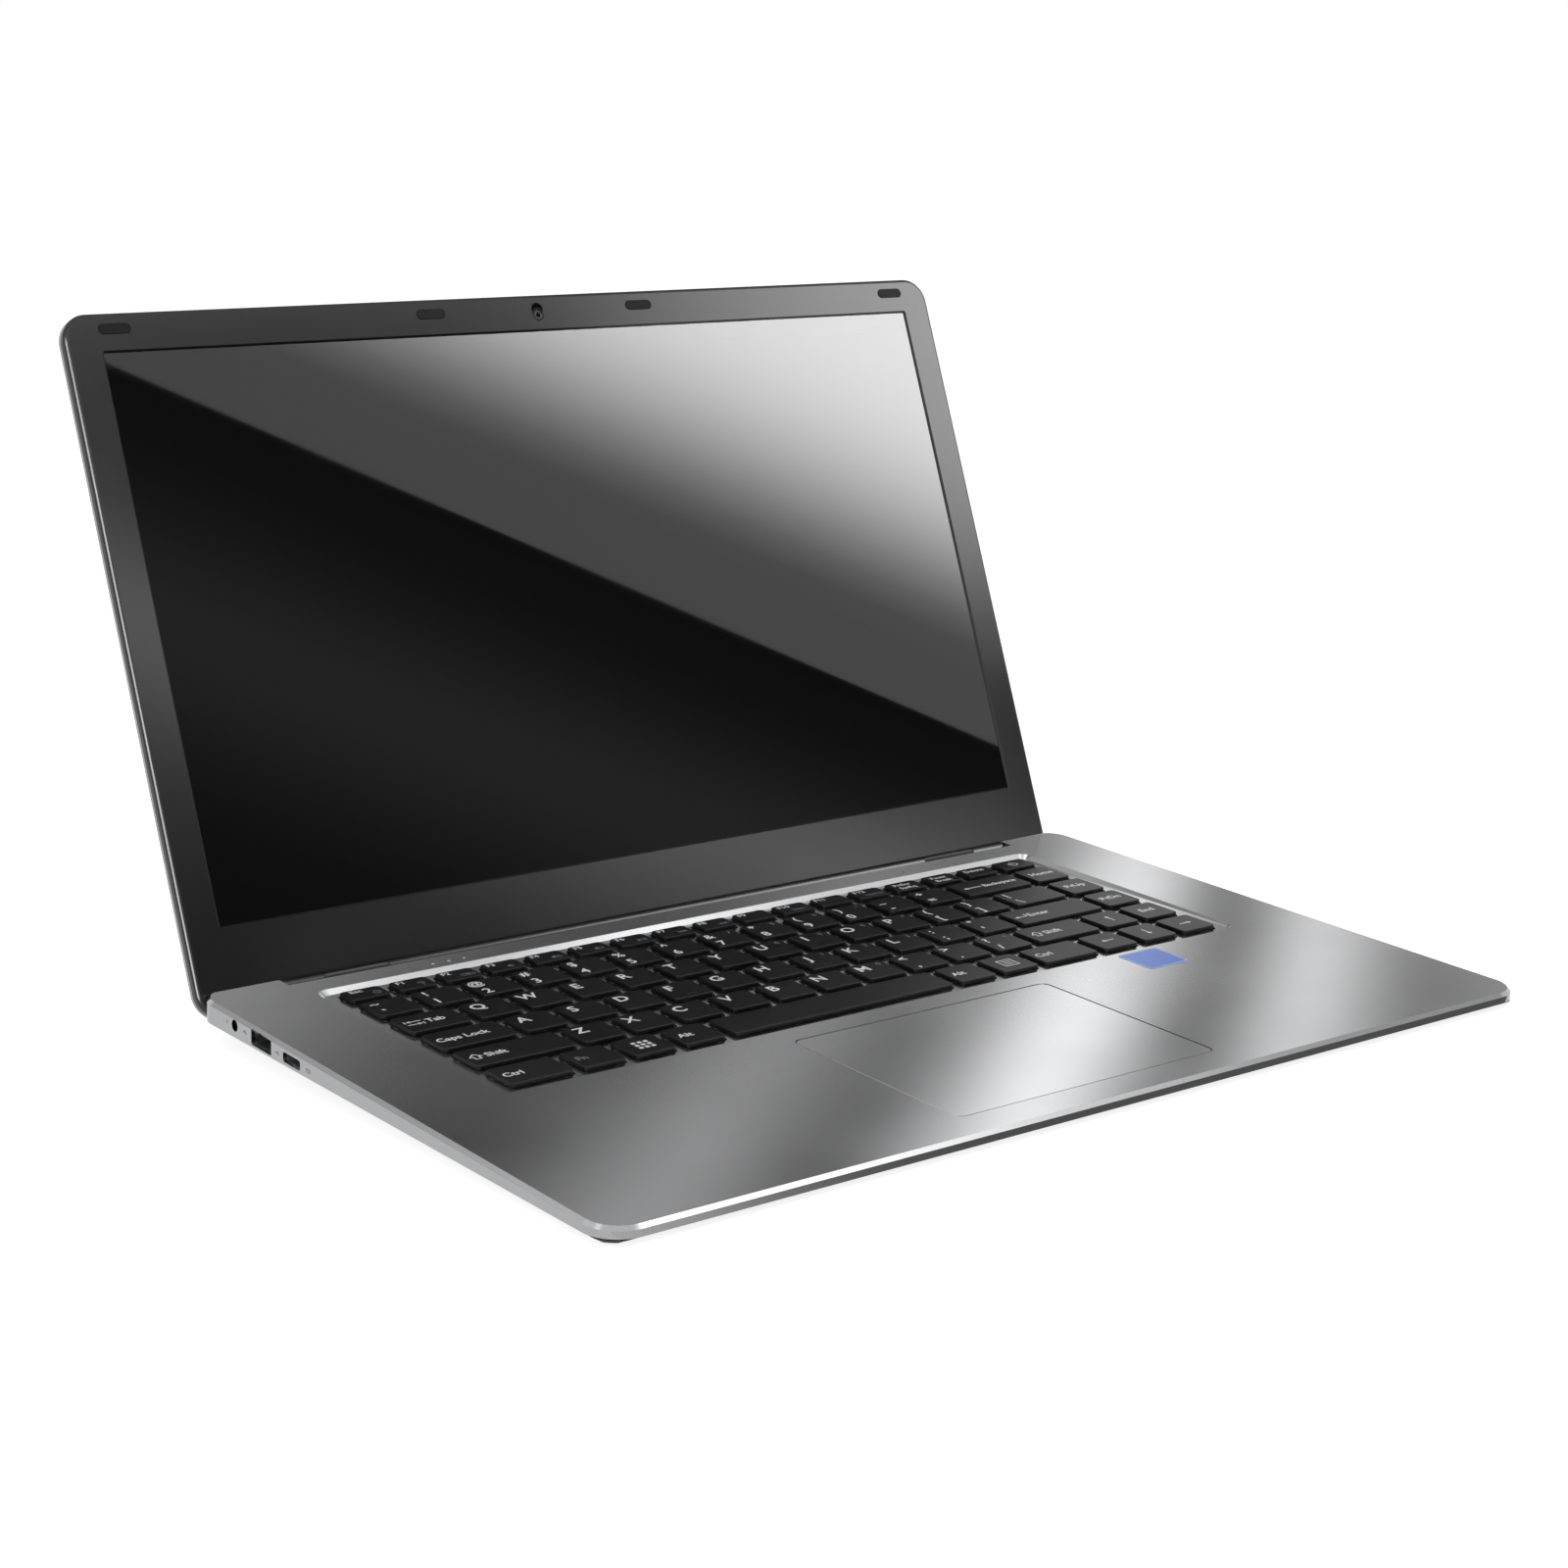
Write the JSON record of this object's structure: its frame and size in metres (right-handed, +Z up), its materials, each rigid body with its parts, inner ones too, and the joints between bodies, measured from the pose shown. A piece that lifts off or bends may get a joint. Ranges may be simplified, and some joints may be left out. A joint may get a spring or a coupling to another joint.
{
  "type": "laptop computer",
  "caption": "Thin clamshell laptop computer, open: silver base with a chiclet keyboard and touchpad, and a black-framed widescreen lid on a barrel hinge.",
  "frame": {"origin": "on the table, under the middle of the open computer's outline box", "axes": "+X to the user's right along the base's width, +Y to the rear (screen side), +Z up; the base stands on its feet at Z = 0 and its deck slopes down to the front"},
  "size_m": [0.3742, 0.322, 0.2286],
  "materials": {
    "silver_casing": "fine-grained satin",
    "black_casing": "satin",
    "underside": "fine texture",
    "key_plastic": "fine matte",
    "pad": "satin silver",
    "screen": "glossy",
    "steel": "plain",
    "dome_rubber": "satin",
    "board": "satin",
    "cell": "matte",
    "copper": "plain",
    "foot_rubber": "matte",
    "socket_plastic": "matte",
    "light_pipe": "clear",
    "lens": "glossy",
    "screw": "plain"
  },
  "bodies": {
    "base": {"bottom_cover": "underside", "top_case": "silver_casing", "keyboard_plate": "steel", "dome_sheet": "dome_rubber", "touchpad_bracket": "steel", "battery": "cell", "main_board": "board", "heat_spreader": "copper", "ssd_card": "board", "wifi_card": "board", "speakers": "socket_plastic", "power_jack": "socket_plastic", "usb_ports": "steel", "hdmi_port": "steel", "audio_jack": "socket_plastic", "card_slot": "steel", "io_board": "board", "rubber_feet": "foot_rubber", "bottom_screws": "screw", "status_lights": "light_pipe", "hinge_brackets": "black_casing"},
    "lid": {"lid_cover": "silver_casing", "screen_bezel": "black_casing", "display_panel": "screen", "hinge_arms": "black_casing", "hinge_cover": "black_casing", "camera_board": "board", "camera_lens": "lens", "lid_bumpers": "foot_rubber"},
    "touchpad": {"touchpad": "pad"},
    "function_keys": {"function_keys": "key_plastic"},
    "number_keys": {"number_keys": "key_plastic"},
    "q_row_keys": {"q_row_keys": "key_plastic"},
    "a_row_keys": {"a_row_keys": "key_plastic"},
    "z_row_keys": {"z_row_keys": "key_plastic"},
    "esc_key": {"esc_key": "key_plastic"},
    "power_key": {"power_key": "key_plastic"},
    "backspace_key": {"backspace_key": "key_plastic"},
    "home_key": {"home_key": "key_plastic"},
    "tab_key": {"tab_key": "key_plastic"},
    "backslash_key": {"backslash_key": "key_plastic"},
    "page_up_key": {"page_up_key": "key_plastic"},
    "caps_lock_key": {"caps_lock_key": "key_plastic"},
    "enter_key": {"enter_key": "key_plastic"},
    "page_down_key": {"page_down_key": "key_plastic"},
    "left_shift_key": {"left_shift_key": "key_plastic"},
    "right_shift_key": {"right_shift_key": "key_plastic"},
    "up_key": {"up_key": "key_plastic"},
    "end_key": {"end_key": "key_plastic"},
    "left_ctrl_key": {"left_ctrl_key": "key_plastic"},
    "fn_key": {"fn_key": "key_plastic"},
    "start_key": {"start_key": "key_plastic"},
    "left_alt_key": {"left_alt_key": "key_plastic"},
    "space_key": {"space_key": "key_plastic"},
    "right_alt_key": {"right_alt_key": "key_plastic"},
    "menu_key": {"menu_key": "key_plastic"},
    "right_ctrl_key": {"right_ctrl_key": "key_plastic"},
    "left_key": {"left_key": "key_plastic"},
    "down_key": {"down_key": "key_plastic"},
    "right_key": {"right_key": "key_plastic"}
  },
  "joints": [
    {"name": "lid_hinge", "type": "hinge", "parent": "base", "child": "lid", "pos_m": [0, 0.07275, 0.0125], "axis": [-1, 0, 0], "range_deg": [-112.7, 25]},
    {"name": "touchpad_click", "type": "slide", "parent": "base", "child": "touchpad", "axis": [0, 0.0427, -0.9991], "range_m": [0, 0.0003], "stiffness_N_per_m": 3000, "springref_m": -0.0001},
    {"name": "function_keys_press", "type": "slide", "parent": "base", "child": "function_keys", "axis": [0, 0.0348, -0.9994], "range_m": [0, 0.0014], "stiffness_N_per_m": 400, "springref_m": -0.0005},
    {"name": "number_keys_press", "type": "slide", "parent": "base", "child": "number_keys", "axis": [0, 0.0348, -0.9994], "range_m": [0, 0.0014], "stiffness_N_per_m": 400, "springref_m": -0.0005},
    {"name": "q_row_keys_press", "type": "slide", "parent": "base", "child": "q_row_keys", "axis": [0, 0.0348, -0.9994], "range_m": [0, 0.0014], "stiffness_N_per_m": 400, "springref_m": -0.0005},
    {"name": "a_row_keys_press", "type": "slide", "parent": "base", "child": "a_row_keys", "axis": [0, 0.0348, -0.9994], "range_m": [0, 0.0014], "stiffness_N_per_m": 400, "springref_m": -0.0005},
    {"name": "z_row_keys_press", "type": "slide", "parent": "base", "child": "z_row_keys", "axis": [0, 0.0348, -0.9994], "range_m": [0, 0.0014], "stiffness_N_per_m": 400, "springref_m": -0.0005},
    {"name": "esc_key_press", "type": "slide", "parent": "base", "child": "esc_key", "axis": [0, 0.0348, -0.9994], "range_m": [0, 0.0014], "stiffness_N_per_m": 400, "springref_m": -0.0005},
    {"name": "power_key_press", "type": "slide", "parent": "base", "child": "power_key", "axis": [0, 0.0348, -0.9994], "range_m": [0, 0.0014], "stiffness_N_per_m": 400, "springref_m": -0.0005},
    {"name": "backspace_key_press", "type": "slide", "parent": "base", "child": "backspace_key", "axis": [0, 0.0348, -0.9994], "range_m": [0, 0.0014], "stiffness_N_per_m": 400, "springref_m": -0.0005},
    {"name": "home_key_press", "type": "slide", "parent": "base", "child": "home_key", "axis": [0, 0.0348, -0.9994], "range_m": [0, 0.0014], "stiffness_N_per_m": 400, "springref_m": -0.0005},
    {"name": "tab_key_press", "type": "slide", "parent": "base", "child": "tab_key", "axis": [0, 0.0348, -0.9994], "range_m": [0, 0.0014], "stiffness_N_per_m": 400, "springref_m": -0.0005},
    {"name": "backslash_key_press", "type": "slide", "parent": "base", "child": "backslash_key", "axis": [0, 0.0348, -0.9994], "range_m": [0, 0.0014], "stiffness_N_per_m": 400, "springref_m": -0.0005},
    {"name": "page_up_key_press", "type": "slide", "parent": "base", "child": "page_up_key", "axis": [0, 0.0348, -0.9994], "range_m": [0, 0.0014], "stiffness_N_per_m": 400, "springref_m": -0.0005},
    {"name": "caps_lock_key_press", "type": "slide", "parent": "base", "child": "caps_lock_key", "axis": [0, 0.0348, -0.9994], "range_m": [0, 0.0014], "stiffness_N_per_m": 400, "springref_m": -0.0005},
    {"name": "enter_key_press", "type": "slide", "parent": "base", "child": "enter_key", "axis": [0, 0.0348, -0.9994], "range_m": [0, 0.0014], "stiffness_N_per_m": 400, "springref_m": -0.0005},
    {"name": "page_down_key_press", "type": "slide", "parent": "base", "child": "page_down_key", "axis": [0, 0.0348, -0.9994], "range_m": [0, 0.0014], "stiffness_N_per_m": 400, "springref_m": -0.0005},
    {"name": "left_shift_key_press", "type": "slide", "parent": "base", "child": "left_shift_key", "axis": [0, 0.0348, -0.9994], "range_m": [0, 0.0014], "stiffness_N_per_m": 400, "springref_m": -0.0005},
    {"name": "right_shift_key_press", "type": "slide", "parent": "base", "child": "right_shift_key", "axis": [0, 0.0348, -0.9994], "range_m": [0, 0.0014], "stiffness_N_per_m": 400, "springref_m": -0.0005},
    {"name": "up_key_press", "type": "slide", "parent": "base", "child": "up_key", "axis": [0, 0.0348, -0.9994], "range_m": [0, 0.0014], "stiffness_N_per_m": 400, "springref_m": -0.0005},
    {"name": "end_key_press", "type": "slide", "parent": "base", "child": "end_key", "axis": [0, 0.0348, -0.9994], "range_m": [0, 0.0014], "stiffness_N_per_m": 400, "springref_m": -0.0005},
    {"name": "left_ctrl_key_press", "type": "slide", "parent": "base", "child": "left_ctrl_key", "axis": [0, 0.0348, -0.9994], "range_m": [0, 0.0014], "stiffness_N_per_m": 400, "springref_m": -0.0005},
    {"name": "fn_key_press", "type": "slide", "parent": "base", "child": "fn_key", "axis": [0, 0.0348, -0.9994], "range_m": [0, 0.0014], "stiffness_N_per_m": 400, "springref_m": -0.0005},
    {"name": "start_key_press", "type": "slide", "parent": "base", "child": "start_key", "axis": [0, 0.0348, -0.9994], "range_m": [0, 0.0014], "stiffness_N_per_m": 400, "springref_m": -0.0005},
    {"name": "left_alt_key_press", "type": "slide", "parent": "base", "child": "left_alt_key", "axis": [0, 0.0348, -0.9994], "range_m": [0, 0.0014], "stiffness_N_per_m": 400, "springref_m": -0.0005},
    {"name": "space_key_press", "type": "slide", "parent": "base", "child": "space_key", "axis": [0, 0.0348, -0.9994], "range_m": [0, 0.0014], "stiffness_N_per_m": 400, "springref_m": -0.0005},
    {"name": "right_alt_key_press", "type": "slide", "parent": "base", "child": "right_alt_key", "axis": [0, 0.0348, -0.9994], "range_m": [0, 0.0014], "stiffness_N_per_m": 400, "springref_m": -0.0005},
    {"name": "menu_key_press", "type": "slide", "parent": "base", "child": "menu_key", "axis": [0, 0.0348, -0.9994], "range_m": [0, 0.0014], "stiffness_N_per_m": 400, "springref_m": -0.0005},
    {"name": "right_ctrl_key_press", "type": "slide", "parent": "base", "child": "right_ctrl_key", "axis": [0, 0.0348, -0.9994], "range_m": [0, 0.0014], "stiffness_N_per_m": 400, "springref_m": -0.0005},
    {"name": "left_key_press", "type": "slide", "parent": "base", "child": "left_key", "axis": [0, 0.0348, -0.9994], "range_m": [0, 0.0014], "stiffness_N_per_m": 400, "springref_m": -0.0005},
    {"name": "down_key_press", "type": "slide", "parent": "base", "child": "down_key", "axis": [0, 0.0348, -0.9994], "range_m": [0, 0.0014], "stiffness_N_per_m": 400, "springref_m": -0.0005},
    {"name": "right_key_press", "type": "slide", "parent": "base", "child": "right_key", "axis": [0, 0.0348, -0.9994], "range_m": [0, 0.0014], "stiffness_N_per_m": 400, "springref_m": -0.0005}
  ]
}
